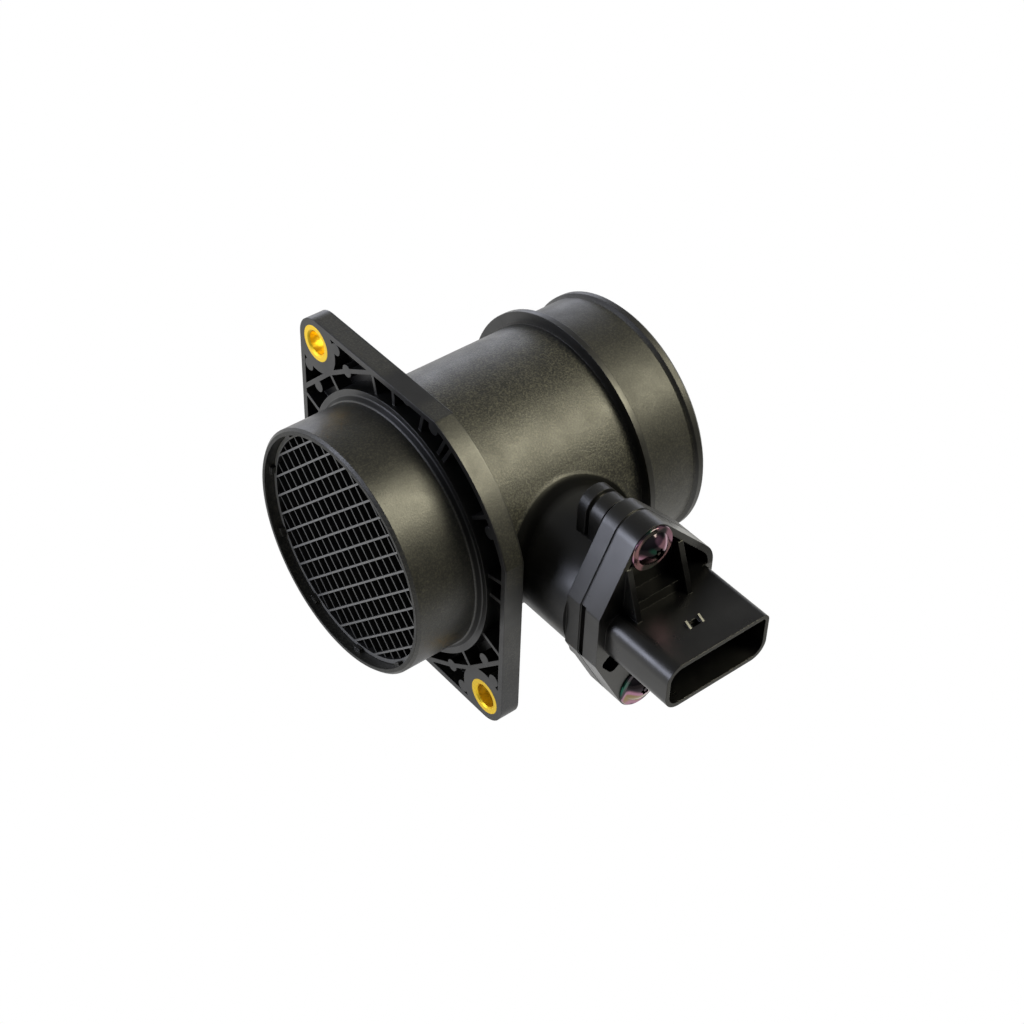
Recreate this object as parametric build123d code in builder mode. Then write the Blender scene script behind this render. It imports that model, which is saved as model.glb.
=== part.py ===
from build123d import *
import math
import os

os.makedirs("parts", exist_ok=True)

# Mass airflow sensor. Millimetres. X is the flow axis, with the inlet towards -X, and +Z is up.
# The sensor head points along -Y. The origin is on the tube axis, in the flange's mounting face.

# Driving sizes of the tube: the bore, and the steps and walls around it
bore_radius = 31.4
grid_seat_step = 1.8
spigot_wall = 1.8
tube_wall = 3.0
outlet_wall = 3.5
spigot_length = 20.5
tip_round = 0.8
shoulder_x = 54.1
shoulder_height = 3.6
shoulder_width = 1.8
bead_x = 72.3
bead_height = 1.0
bead_width = 3.6

# Driving sizes of the flange
collar_height = 3.0
collar_proud = 1.2
collar_root = 1.4
flange_thickness = 5.8
bolt_offset = 16.5
flange_corner_radius = 7.2
flange_waist_height = 11.0
flange_rim = 1.7
pocket_depth = 4.4
web_radius = 8.7
cross_web_offset = 8.5
cross_web_slope = 5.4
cross_web_width = 1.3
rib_width = 1.1
pad_radius = 1.8
corner_pad_offset = 10.1
corner_pad_v = 9.5
edge_pad_offset = 3.9
edge_pad_v = 9.0
side_pad_offset = 8.4
side_pad_angles = (76.9, 116.1, 131.0)
side_rib_angles = (24.0, 49.0, 58.0, 82.5, 106.5, 110.0, 122.0, 138.5, 150.0)
bush_radius = 5.25
bush_bore_radius = 3.4
bush_chamfer = 0.5
bush_fit = 0.02

# Driving sizes of the grid in the inlet
grid_recess = 3.0
grid_depth = 9.0
grid_clearance = 0.15
grid_ring_wall = 1.2
grid_bar_width = 0.55
grid_bar_pitch = 4.87
grid_cross_pitch = 4.1
grid_cross_setback = 0.4
snap_count = 10
snap_width = 2.6
snap_height = 0.9
snap_length = 1.4
snap_root = 0.6

# Driving sizes of the tower and the sensor head
tower_x = 29.0
tower_radius = 18.6
tower_bore_radius = 15.2
tower_root_round = 3.5
head_y = 59.0
tower_flange_thickness = 5.0
screw_spacing = 48.4
screw_offset = 1.6
lug_radius = 6.8
head_left_reach = 17.4
head_left_height = 18.6
head_left_round = 1.5
head_right_reach = 20.8
head_right_height = 32.2
head_right_round = 9.0
boss_radius = 5.3
boss_length = 9.8
boss_groove = 1.3
boss_groove_depth = 1.3
boss_ring_length = 4.1
screw_hole_floor = 2.0
pry_slot_height = 17.4
pry_slot_width = 1.8
pry_slot_depth = 1.6
seam_step = 0.3
plate_thickness = 7.0
plate_rim = 1.8
plate_pocket_depth = 5.4
plate_lug_radius = 6.6
left_rib_x = 20.2
right_rib_x = 37.0
head_rib_width = 1.6
gusset_top_z = 21.0
gusset_start = 0.3
gusset_reach = 5.5
contact_block_top_z = 19.0
contact_block_step_z = 10.5
contact_block_reach = 2.6
contact_block_set_back = 1.8
window_length = 6.4
window_width = 4.4
window_round = 1.6
window_x = 17.0
window_z = -9.9
window_turn = -51.0

# Driving sizes of the connector socket
socket_x = 31.2
socket_width = 34.0
socket_height = 14.2
socket_round = 4.8
socket_key_round = 2.2
socket_wall = 1.2
socket_reach = 29.6
socket_floor = 4.5
pin_count = 5
pin_pitch = 5.0
pin_width = 1.6
pin_thickness = 0.8
pin_reach = 11.0
pin_tail = 6.0
pin_tip_chamfer = 0.25
latch_x = 30.9
latch_y = 79.7
latch_spacing = 4.2
latch_rib_width = 0.7
latch_rib_length = 2.2
latch_rib_height = 1.1
latch_window_width = 2.6
latch_window_length = 2.0

# Driving sizes of the screws
screw_shank_radius = 1.95
screw_hole_clearance = 0.1
screw_length = 17.0
screw_flange_radius = 6.5
screw_flange_thickness = 0.7
screw_head_radius = 4.8
screw_head_height = 2.9
screw_flat_radius = 2.6
drive_size = 2.6
drive_depth = 1.6

# Driving sizes of the plug and the paddle in the duct
plug_clearance = 0.2
plug_length = 12.0
ring_section = 2.3
ring_groove_width = 2.8
ring_groove_depth = 8.0
paddle_chord = 22.0
paddle_thickness = 9.0
paddle_tip_y = 12.0
paddle_nose_round = 4.0
bay_depth = 4.2
bay_width = 17.0
bay_length = 22.0
bay_y = 41.0
lid_thickness = 1.0
fit_gap = 0.1
overrun = 1.0
channel_width = 5.5
channel_inner_bend = 0.4
channel_depth = 5.6
channel_x = 3.0
channel_in_y = 6.0
channel_out_y = -7.0
channel_lid_y = -0.5
channel_lid_width = 18.0
channel_lid_length = 23.0
lid_lap = 1.2
tongue_width = 3.6
tongue_length = 19.0
tongue_thickness = 0.6
carrier_thickness = 1.0
board_margin = 0.8
board_thickness = 0.7
chip_size = 6.0
chip_thickness = 0.9
chip_offset = 3.7
capacitor_length = 1.6
capacitor_width = 0.8
capacitor_pitch = 2.9
capacitor_row_pitch = 2.1
capacitor_offset = 5.5
sensing_chip_size = 2.8
sensing_chip_margin = 0.5
sensing_chip_thickness = 0.4

# Places that follow from the driving sizes
grid_seat_radius = bore_radius + grid_seat_step
spigot_radius = grid_seat_radius + spigot_wall
tube_radius = bore_radius + tube_wall
outlet_radius = bore_radius + outlet_wall
shoulder_radius = tube_radius + shoulder_height
bead_radius = outlet_radius + bead_height
body_end_x = bead_x + bead_width
collar_radius = spigot_radius + collar_height
flange_waist_radius = spigot_radius + flange_waist_height
spigot_tip_x = -spigot_length
grid_front_x = spigot_tip_x + grid_recess
grid_back_x = grid_front_x + grid_depth
bolt_reach = spigot_radius + bolt_offset
diagonal = math.sqrt(0.5)
side_distance = bolt_reach * diagonal + flange_corner_radius
lug_reach = screw_spacing / 2
tower_back_y = head_y - tower_flange_thickness
plate_front_y = head_y + plate_thickness
socket_mouth_y = head_y + socket_reach
plug_radius = tower_bore_radius - plug_clearance
ring_groove_y = head_y - ring_groove_depth
ring_groove_radius = tower_bore_radius - ring_section - fit_gap
tongue_slot_length = bay_y - bay_length + channel_out_y + overrun

# Planes: u runs along the bolt diagonal of the mounting face, and the head's planes face -Y
mount_plane = Plane(origin=(0, 0, 0), x_dir=(0, diagonal, diagonal), z_dir=(-1, 0, 0))
grid_plane = Plane(origin=(grid_front_x, 0, 0), x_dir=(0, diagonal, diagonal), z_dir=(-1, 0, 0))
head_plane = Plane(origin=(tower_x, 0, 0), x_dir=(1, 0, 0), z_dir=(0, -1, 0))
screw_plane = Plane(origin=(tower_x - screw_offset, 0, 0), x_dir=(1, 0, 0), z_dir=(0, -1, 0))
socket_plane = Plane(origin=(socket_x, 0, 0), x_dir=(1, 0, 0), z_dir=(0, -1, 0))
paddle_face = Plane(origin=(tower_x, 0, paddle_thickness / 2), x_dir=(1, 0, 0), z_dir=(0, 0, 1))
bay_floor_plane = paddle_face.offset(-bay_depth)


def flange_outline(inset=0.0):
    """The square flange: a rounded corner at each bolt, and the other two corners cut round."""
    corner = flange_corner_radius - inset
    tangent = corner * diagonal
    waist = flange_waist_radius - inset
    side = side_distance - inset
    run = math.sqrt(waist**2 - side**2)
    end_u = (side - run) * diagonal
    end_v = (side + run) * diagonal
    with BuildSketch() as outline:
        with BuildLine():
            for turn in (1, -1):
                ThreePointArc(
                    (turn * (bolt_reach + tangent), -turn * tangent),
                    (turn * (bolt_reach + corner), 0),
                    (turn * (bolt_reach + tangent), turn * tangent),
                )
                Line((turn * (bolt_reach + tangent), turn * tangent), (turn * end_u, turn * end_v))
                ThreePointArc((turn * end_u, turn * end_v), (0, turn * waist), (-turn * end_u, turn * end_v))
                Line((-turn * end_u, turn * end_v), (-turn * (bolt_reach + tangent), turn * tangent))
        make_face()
    return outline.sketch


def head_outline(inset=0.0):
    """The tower flange and sensor plate: a lug at each screw, a blunt left corner and a full round right one."""
    left_x = head_left_reach - head_left_round - inset
    left_z = head_left_height / 2 - head_left_round
    right_round = head_right_round - inset
    right_x = head_right_reach - head_right_round
    right_z = head_right_height / 2 - head_right_round
    with BuildSketch() as outline:
        with Locations((-screw_offset, lug_reach), (-screw_offset, -lug_reach)):
            Circle(lug_radius - inset)
        with Locations((-left_x, left_z), (-left_x, -left_z)):
            Circle(head_left_round)
        with Locations((right_x, right_z), (right_x, -right_z)):
            Circle(right_round)
        make_hull()
    return outline.sketch


def socket_outline(inset=0.0):
    """The connector socket: three round corners, and a tighter one at its upper right that keys the plug."""
    with BuildSketch() as outline:
        for side, level, corner in (
            (-1, 1, socket_round),
            (1, 1, socket_key_round),
            (1, -1, socket_round),
            (-1, -1, socket_round),
        ):
            with Locations((side * (socket_width / 2 - corner), level * (socket_height / 2 - corner))):
                Circle(corner - inset)
        make_hull()
    return outline.sketch


# Tube housing: the turned form about the flow axis
with BuildPart() as tube_housing:
    with BuildSketch(Plane.XZ):
        with BuildLine():
            Polyline(
                (spigot_tip_x, 0),
                (spigot_tip_x, spigot_radius - tip_round),
                (spigot_tip_x + tip_round, spigot_radius),
                (-collar_proud - collar_root, spigot_radius),
                (-collar_proud, spigot_radius + collar_root),
                (-collar_proud, collar_radius),
                (flange_thickness, collar_radius),
                (flange_thickness, tube_radius),
                (shoulder_x, tube_radius),
                (shoulder_x, shoulder_radius),
                (shoulder_x + shoulder_width, shoulder_radius),
                (shoulder_x + shoulder_width, outlet_radius),
                (bead_x, outlet_radius),
                (bead_x + bead_height, bead_radius),
                (body_end_x - bead_height, bead_radius),
                (body_end_x, outlet_radius),
                (body_end_x, 0),
                (spigot_tip_x, 0),
            )
        make_face()
    revolve(axis=Axis.X)

    # Tower, blended into the tube
    with BuildSketch(head_plane) as tower_section:
        Circle(tower_radius)
    extrude(amount=tower_back_y)
    tower_edges = tube_housing.edges(Select.LAST).filter_by(GeomType.CIRCLE, reverse=True)
    fillet(tower_edges.filter_by(GeomType.LINE, reverse=True), radius=tower_root_round)

    # Flange, with its cored front
    with BuildSketch(mount_plane) as flange_section:
        add(flange_outline())
    extrude(amount=-flange_thickness)
    rib_middle_radius = (spigot_radius + flange_waist_radius) / 2
    rib_length = flange_waist_radius - spigot_radius
    corner_pad_u = bolt_reach - corner_pad_offset
    edge_pad_u = bolt_reach - edge_pad_offset
    cross_web_u = bolt_reach - cross_web_offset
    slanted_web_u = cross_web_u - cross_web_slope
    flange_edge = side_distance / diagonal
    with BuildSketch(mount_plane) as pockets:
        add(flange_outline(flange_rim))
        Circle(collar_radius, mode=Mode.SUBTRACT)
        with Locations((bolt_reach, 0), (-bolt_reach, 0)):
            Circle(web_radius, mode=Mode.SUBTRACT)
        Rectangle(2 * bolt_reach, rib_width, mode=Mode.SUBTRACT)
        with GridLocations(2 * corner_pad_u, 2 * corner_pad_v, 2, 2):
            Circle(pad_radius, mode=Mode.SUBTRACT)
        with GridLocations(2 * edge_pad_u, 2 * edge_pad_v, 2, 2):
            Circle(pad_radius, mode=Mode.SUBTRACT)
        for pad_angle in side_pad_angles:
            with PolarLocations(spigot_radius + side_pad_offset, 2, start_angle=pad_angle):
                Circle(pad_radius, mode=Mode.SUBTRACT)
        for rib_angle in side_rib_angles:
            with PolarLocations(rib_middle_radius, 2, start_angle=rib_angle):
                Rectangle(rib_length, rib_width, mode=Mode.SUBTRACT)
        for turn in (1, -1):
            with BuildLine():
                Polyline(
                    (turn * cross_web_u, turn * (flange_edge - cross_web_u)),
                    (turn * cross_web_u, 0),
                    (turn * corner_pad_u, -turn * corner_pad_v),
                    (turn * slanted_web_u, -turn * (flange_edge - slanted_web_u)),
                )
            trace(line_width=cross_web_width, mode=Mode.SUBTRACT)
    extrude(amount=-pocket_depth, mode=Mode.SUBTRACT)

    # Flange of the tower, and the two ringed screw bosses behind it
    with BuildSketch(head_plane.offset(tower_back_y)) as tower_flange_section:
        add(head_outline())
    extrude(amount=tower_flange_thickness - seam_step)
    with BuildSketch(head_plane.offset(head_y - seam_step)) as tower_seam:
        add(head_outline(seam_step))
    extrude(amount=seam_step)
    with BuildSketch(screw_plane.offset(tower_back_y - boss_length)) as boss_section:
        with Locations((0, lug_reach), (0, -lug_reach)):
            Circle(boss_radius)
        Rectangle(2 * boss_radius, screw_spacing)
    extrude(amount=boss_length)
    for groove_y in (tower_back_y - boss_groove, tower_back_y - 2 * boss_groove - boss_ring_length):
        with BuildSketch(screw_plane.offset(groove_y)) as boss_grooves:
            Rectangle(2 * boss_radius, screw_spacing + 2 * boss_radius)
            with Locations((0, lug_reach), (0, -lug_reach)):
                Circle(boss_radius - boss_groove_depth, mode=Mode.SUBTRACT)
            Rectangle(2 * (boss_radius - boss_groove_depth), screw_spacing, mode=Mode.SUBTRACT)
            with Locations((screw_offset, 0)):
                Circle(tower_radius, mode=Mode.SUBTRACT)
        extrude(amount=boss_groove, mode=Mode.SUBTRACT)

    # Bore, grid seat, tower bore, bolt holes and screw holes
    with BuildSketch(Plane.XZ) as bore_section:
        with BuildLine():
            Polyline(
                (spigot_tip_x, 0),
                (spigot_tip_x, grid_seat_radius),
                (grid_back_x, grid_seat_radius),
                (grid_back_x, bore_radius),
                (body_end_x, bore_radius),
                (body_end_x, 0),
                close=True,
            )
        make_face()
    revolve(axis=Axis.X, mode=Mode.SUBTRACT)
    with BuildSketch(grid_plane) as snaps:
        with PolarLocations(grid_seat_radius - snap_height / 2 + snap_root / 2, snap_count):
            Rectangle(snap_height + snap_root, snap_width)
    extrude(amount=snap_length)
    with BuildSketch(head_plane) as tower_bore:
        Circle(tower_bore_radius)
    extrude(amount=head_y, mode=Mode.SUBTRACT)
    with BuildSketch(mount_plane) as bolt_holes:
        with Locations((bolt_reach, 0), (-bolt_reach, 0)):
            Circle(bush_radius)
    extrude(amount=-flange_thickness, mode=Mode.SUBTRACT)
    with BuildSketch(screw_plane.offset(head_y)) as screw_holes:
        with Locations((0, lug_reach), (0, -lug_reach)):
            Circle(screw_shank_radius + screw_hole_clearance)
    extrude(amount=-(tower_flange_thickness + boss_length - screw_hole_floor), mode=Mode.SUBTRACT)
tube_housing.part.label = "tube_housing"
export_step(tube_housing.part, "parts/tube_housing.step")


# Grid that straightens the flow: long bars across the bolt diagonal, thinner cross bars behind them
straightener_radius = grid_seat_radius - grid_clearance
straightener_bore = straightener_radius - grid_ring_wall
bar_count = 2 * int(straightener_bore / grid_bar_pitch) + 1
cross_count = 2 * int(straightener_bore / grid_cross_pitch) + 1
with BuildPart() as flow_straightener:
    with BuildSketch(grid_plane) as straightener_ring:
        Circle(straightener_radius)
        Circle(straightener_bore, mode=Mode.SUBTRACT)
    extrude(amount=-grid_depth)
    with BuildSketch(grid_plane) as long_bars:
        with GridLocations(grid_bar_pitch, 0, bar_count, 1):
            Rectangle(grid_bar_width, 2 * straightener_radius)
        Circle(straightener_bore + grid_ring_wall / 2, mode=Mode.INTERSECT)
    extrude(amount=-grid_depth)
    with BuildSketch(grid_plane.offset(-grid_cross_setback)) as cross_bars:
        with GridLocations(0, grid_cross_pitch, 1, cross_count):
            Rectangle(2 * straightener_radius, grid_bar_width)
        Circle(straightener_bore + grid_ring_wall / 2, mode=Mode.INTERSECT)
    extrude(amount=-(grid_depth - 2 * grid_cross_setback))
flow_straightener.part.label = "flow_straightener"
export_step(flow_straightener.part, "parts/flow_straightener.step")


# Brass sleeves in the two bolt holes
for bush_name, bush_u in (("upper_bolt_bush", bolt_reach), ("lower_bolt_bush", -bolt_reach)):
    with BuildPart() as bolt_bush:
        with BuildSketch(mount_plane):
            with Locations((bush_u, 0)):
                Circle(bush_radius - bush_fit)
                Circle(bush_bore_radius, mode=Mode.SUBTRACT)
        extrude(amount=-flange_thickness)
        mouth_edges = bolt_bush.edges().group_by(Axis.X)[0].sort_by(lambda edge: edge.radius)
        chamfer(mouth_edges[0], length=bush_chamfer)
    bolt_bush.part.label = bush_name
    export_step(bolt_bush.part, f"parts/{bush_name}.step")


# Sensor housing: plate, connector socket, plug and the paddle that stands in the flow
with BuildPart() as sensor_housing:
    with BuildSketch(head_plane.offset(head_y)) as plate_seam:
        add(head_outline(seam_step))
    extrude(amount=seam_step)
    with BuildSketch(head_plane.offset(head_y + seam_step)) as plate_section:
        add(head_outline())
    extrude(amount=plate_thickness - seam_step)
    with BuildSketch(head_plane.offset(head_y)) as pry_slot:
        with Locations((-head_left_reach, 0)):
            Rectangle(2 * pry_slot_depth, pry_slot_height)
    extrude(amount=pry_slot_width, mode=Mode.SUBTRACT)
    with BuildSketch(head_plane.offset(plate_front_y)) as plate_pockets:
        add(head_outline(plate_rim))
        with Locations((0, -lug_reach)):
            Rectangle(2 * head_right_reach, screw_spacing + socket_height, mode=Mode.SUBTRACT)
        with Locations((left_rib_x - tower_x - head_left_reach, lug_reach)):
            Rectangle(2 * head_left_reach, screw_spacing + head_left_height, mode=Mode.SUBTRACT)
        with Locations((-screw_offset, lug_reach)):
            Circle(plate_lug_radius, mode=Mode.SUBTRACT)
    extrude(amount=-plate_pocket_depth, mode=Mode.SUBTRACT)

    # Gusset ribs and, between them, the stepped block over the contacts, down to the top of the socket
    pocket_floor_y = plate_front_y - plate_pocket_depth
    for rib_x in (left_rib_x, right_rib_x):
        with BuildSketch(Plane(origin=(rib_x, 0, 0), x_dir=(0, -1, 0), z_dir=(1, 0, 0))) as gusset:
            with BuildLine():
                Polyline(
                    (pocket_floor_y, 0),
                    (pocket_floor_y, -gusset_top_z),
                    (plate_front_y + gusset_start, -gusset_top_z),
                    (plate_front_y + gusset_reach, -socket_height / 2),
                    (plate_front_y + gusset_reach, 0),
                    close=True,
                )
            make_face()
        extrude(amount=head_rib_width / 2, both=True)
    block_middle_x = (left_rib_x + right_rib_x) / 2
    with BuildSketch(Plane(origin=(block_middle_x, 0, 0), x_dir=(0, -1, 0), z_dir=(1, 0, 0))) as contact_block:
        with BuildLine():
            Polyline(
                (pocket_floor_y, 0),
                (pocket_floor_y, -contact_block_top_z),
                (plate_front_y - contact_block_set_back, -contact_block_top_z),
                (plate_front_y - contact_block_set_back, -contact_block_step_z),
                (plate_front_y + contact_block_reach, -contact_block_step_z),
                (plate_front_y + contact_block_reach, 0),
                close=True,
            )
        make_face()
    extrude(amount=(right_rib_x - left_rib_x) / 2, both=True)

    # Slot window through the lower left of the plate
    with BuildSketch(head_plane.offset(plate_front_y)) as window:
        with Locations(Location((window_x - tower_x, window_z), window_turn)):
            RectangleRounded(window_length, window_width, window_round)
    extrude(amount=-plate_pocket_depth, mode=Mode.SUBTRACT)

    # Socket: a keyed shell around the contacts, with a latch window between two wedges on its top
    with BuildSketch(socket_plane.offset(pocket_floor_y)) as socket_outer:
        add(socket_outline())
    extrude(amount=socket_mouth_y - pocket_floor_y)
    with BuildSketch(socket_plane.offset(socket_mouth_y)) as socket_cavity:
        add(socket_outline(socket_wall))
    extrude(amount=-(socket_mouth_y - plate_front_y - socket_floor), mode=Mode.SUBTRACT)
    for latch_side in (-1, 1):
        latch_rib_x = latch_x + latch_side * latch_spacing / 2
        with BuildSketch(Plane(origin=(latch_rib_x, 0, 0), x_dir=(0, -1, 0), z_dir=(1, 0, 0))) as latch_wedge:
            with BuildLine():
                Polyline(
                    (latch_y - latch_rib_length / 2, -socket_height / 2 + socket_wall / 2),
                    (latch_y - latch_rib_length / 2, -socket_height / 2 - latch_rib_height),
                    (latch_y + latch_rib_length / 2, -socket_height / 2),
                    (latch_y + latch_rib_length / 2, -socket_height / 2 + socket_wall / 2),
                    close=True,
                )
            make_face()
        extrude(amount=latch_rib_width / 2, both=True)
    with BuildSketch(Plane.XY.offset(socket_height / 2)) as latch_window:
        with Locations((latch_x, -latch_y)):
            Rectangle(latch_window_width, latch_window_length)
    extrude(amount=-socket_wall, mode=Mode.SUBTRACT)
    with BuildSketch(socket_plane.offset(plate_front_y + socket_floor)) as pin_slots:
        with GridLocations(pin_pitch, 0, pin_count, 1):
            Rectangle(pin_width + fit_gap, pin_thickness + fit_gap)
    extrude(amount=-pin_tail, mode=Mode.SUBTRACT)

    # Holes for the two screws
    with BuildSketch(screw_plane.offset(plate_front_y)) as plate_holes:
        with Locations((0, lug_reach), (0, -lug_reach)):
            Circle(screw_shank_radius + screw_hole_clearance)
    extrude(amount=-plate_thickness, mode=Mode.SUBTRACT)

    # Plug with its ring groove
    with BuildSketch(head_plane.offset(head_y)) as plug_section:
        Circle(plug_radius)
    extrude(amount=-plug_length)
    with BuildSketch(head_plane.offset(ring_groove_y - ring_groove_width / 2)) as ring_groove:
        Circle(plug_radius)
        Circle(ring_groove_radius, mode=Mode.SUBTRACT)
    extrude(amount=ring_groove_width, mode=Mode.SUBTRACT)

    # Paddle, rounded at its nose, which faces the inlet
    with BuildSketch(head_plane.offset(head_y - plug_length)) as paddle_section:
        Rectangle(paddle_chord, paddle_thickness)
        nose_corners = paddle_section.vertices().sort_by(Axis.X)[:2]
        fillet(nose_corners, radius=paddle_nose_round)
    extrude(amount=-(head_y - plug_length + paddle_tip_y))

    # Circuit bay with the seat of its lid, and the bypass channel with the seat of its lid
    with BuildSketch(paddle_face) as bay_lid_seat:
        with Locations((0, -(bay_y - bay_length / 2))):
            Rectangle(bay_width + 2 * lid_lap, bay_length + 2 * lid_lap)
    extrude(amount=-lid_thickness, mode=Mode.SUBTRACT)
    with BuildSketch(paddle_face) as bay:
        with Locations((0, -(bay_y - bay_length / 2))):
            Rectangle(bay_width, bay_length)
        with Locations((channel_x, -(bay_y - bay_length) + tongue_slot_length / 2)):
            Rectangle(tongue_width + fit_gap, tongue_slot_length, mode=Mode.ADD)
    extrude(amount=-bay_depth, mode=Mode.SUBTRACT)
    with BuildSketch(paddle_face) as channel_lid_seat:
        with Locations((0, channel_lid_y)):
            Rectangle(channel_lid_width, channel_lid_length)
    extrude(amount=-lid_thickness, mode=Mode.SUBTRACT)
    with BuildSketch(paddle_face.offset(-lid_thickness)) as channel:
        with BuildLine() as channel_route:
            FilletPolyline(
                (-paddle_chord / 2 - overrun, channel_in_y),
                (channel_x, channel_in_y),
                (channel_x, channel_out_y),
                (paddle_chord / 2 + overrun, channel_out_y),
                radius=channel_width / 2 + channel_inner_bend,
            )
        trace(line_width=channel_width)
    extrude(amount=-channel_depth, mode=Mode.SUBTRACT)
sensor_housing.part.label = "sensor_housing"
export_step(sensor_housing.part, "parts/sensor_housing.step")


# O-ring between the plug and the tower, squeezed flat on four sides
with BuildPart() as sensor_o_ring:
    with BuildSketch(Plane(origin=(tower_x, -ring_groove_y, 0), x_dir=(1, 0, 0), z_dir=(0, 0, 1))) as ring_section_sketch:
        with Locations(((ring_groove_radius + tower_bore_radius) / 2, 0)):
            Rectangle(ring_section, ring_section)
    revolve(axis=Axis((tower_x, 0, 0), (0, 1, 0)))
sensor_o_ring.part.label = "sensor_o_ring"
export_step(sensor_o_ring.part, "parts/sensor_o_ring.step")


# Contacts in the socket
for pin_index in range(pin_count):
    pin_x = (pin_index - (pin_count - 1) / 2) * pin_pitch
    with BuildPart() as terminal_pin:
        with BuildSketch(socket_plane.offset(plate_front_y + socket_floor - pin_tail)):
            with Locations((pin_x, 0)):
                Rectangle(pin_width, pin_thickness)
        extrude(amount=pin_tail + pin_reach)
        pin_tip_edges = terminal_pin.faces().sort_by(Axis.Y)[0].edges().filter_by(Axis.X)
        chamfer(pin_tip_edges, length=pin_tip_chamfer)
    pin_name = f"terminal_pin_{pin_index + 1}"
    terminal_pin.part.label = pin_name
    export_step(terminal_pin.part, f"parts/{pin_name}.step")


# Domed screws that hold the sensor to the tower
screw_x = tower_x - screw_offset
for screw_name, screw_z in (("upper_sensor_screw", lug_reach), ("lower_sensor_screw", -lug_reach)):
    with BuildPart() as sensor_screw:
        with BuildSketch(Plane(origin=(screw_x, -plate_front_y, screw_z), x_dir=(0, -1, 0), z_dir=(1, 0, 0))):
            with BuildLine():
                Polyline(
                    (screw_head_height, 0),
                    (-screw_length, 0),
                    (-screw_length, screw_shank_radius),
                    (0, screw_shank_radius),
                    (0, screw_flange_radius),
                    (screw_flange_thickness, screw_flange_radius),
                    (screw_flange_thickness, screw_head_radius),
                    (screw_head_height, screw_flat_radius),
                    close=True,
                )
            make_face()
        revolve(axis=Axis((screw_x, -plate_front_y, screw_z), (0, -1, 0)))
        with BuildSketch(screw_plane.offset(plate_front_y + screw_head_height)):
            with Locations((0, screw_z)):
                RegularPolygon(drive_size / 2, 6, major_radius=False)
        extrude(amount=-drive_depth, mode=Mode.SUBTRACT)
    sensor_screw.part.label = screw_name
    export_step(sensor_screw.part, f"parts/{screw_name}.step")


# Metal plate on the floor of the circuit bay, and the ceramic board on it
bay_middle_y = -(bay_y - bay_length / 2)
with BuildPart() as carrier_plate:
    with BuildSketch(bay_floor_plane):
        with Locations((0, bay_middle_y)):
            Rectangle(bay_width - 2 * fit_gap, bay_length - 2 * fit_gap)
    extrude(amount=carrier_thickness)
carrier_plate.part.label = "carrier_plate"
export_step(carrier_plate.part, "parts/carrier_plate.step")

board_plane = bay_floor_plane.offset(carrier_thickness)
with BuildPart() as hybrid_board:
    with BuildSketch(board_plane):
        with Locations((0, bay_middle_y)):
            Rectangle(bay_width - 2 * board_margin, bay_length - 2 * board_margin)
    extrude(amount=board_thickness)
hybrid_board.part.label = "hybrid_board"
export_step(hybrid_board.part, "parts/hybrid_board.step")

chip_plane = board_plane.offset(board_thickness)
with BuildPart() as evaluation_chip:
    with BuildSketch(chip_plane):
        with Locations((0, bay_middle_y - chip_offset)):
            Rectangle(chip_size, chip_size)
    extrude(amount=chip_thickness)
evaluation_chip.part.label = "evaluation_chip"
export_step(evaluation_chip.part, "parts/evaluation_chip.step")

with BuildPart() as board_capacitors:
    with BuildSketch(chip_plane):
        with Locations((0, bay_middle_y + capacitor_offset)):
            with GridLocations(capacitor_pitch, capacitor_row_pitch, 4, 2):
                Rectangle(capacitor_length, capacitor_width)
    extrude(amount=chip_thickness)
board_capacitors.part.label = "board_capacitors"
export_step(board_capacitors.part, "parts/board_capacitors.step")


# Tongue that carries the hot-film chip out into the bypass channel
tongue_root_y = -(bay_y - bay_length) + fit_gap
with BuildPart() as chip_carrier:
    with BuildSketch(bay_floor_plane):
        with Locations((channel_x, tongue_root_y + tongue_length / 2)):
            Rectangle(tongue_width, tongue_length)
    extrude(amount=tongue_thickness)
chip_carrier.part.label = "chip_carrier"
export_step(chip_carrier.part, "parts/chip_carrier.step")

with BuildPart() as sensing_chip:
    with BuildSketch(bay_floor_plane.offset(tongue_thickness)):
        with Locations((channel_x, tongue_root_y + tongue_length - sensing_chip_size / 2 - sensing_chip_margin)):
            Rectangle(sensing_chip_size, sensing_chip_size)
    extrude(amount=sensing_chip_thickness)
sensing_chip.part.label = "sensing_chip"
export_step(sensing_chip.part, "parts/sensing_chip.step")


# Lids of the circuit bay and of the bypass channel, flush with the paddle's face
with BuildPart() as electronics_cover:
    with BuildSketch(paddle_face):
        with Locations((0, bay_middle_y)):
            Rectangle(bay_width + 2 * lid_lap - 2 * fit_gap, bay_length + 2 * lid_lap - 2 * fit_gap)
    extrude(amount=-lid_thickness)
electronics_cover.part.label = "electronics_cover"
export_step(electronics_cover.part, "parts/electronics_cover.step")

with BuildPart() as bypass_cover:
    with BuildSketch(paddle_face):
        with Locations((0, channel_lid_y)):
            Rectangle(channel_lid_width - 2 * fit_gap, channel_lid_length - 2 * fit_gap)
    extrude(amount=-lid_thickness)
bypass_cover.part.label = "bypass_cover"
export_step(bypass_cover.part, "parts/bypass_cover.step")
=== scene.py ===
"""Looks of a mass airflow sensor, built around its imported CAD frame."""

import math

import bmesh
import bpy
from bpy.props import FloatProperty, FloatVectorProperty, IntProperty, PointerProperty
from mathutils import Matrix, Vector


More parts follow.
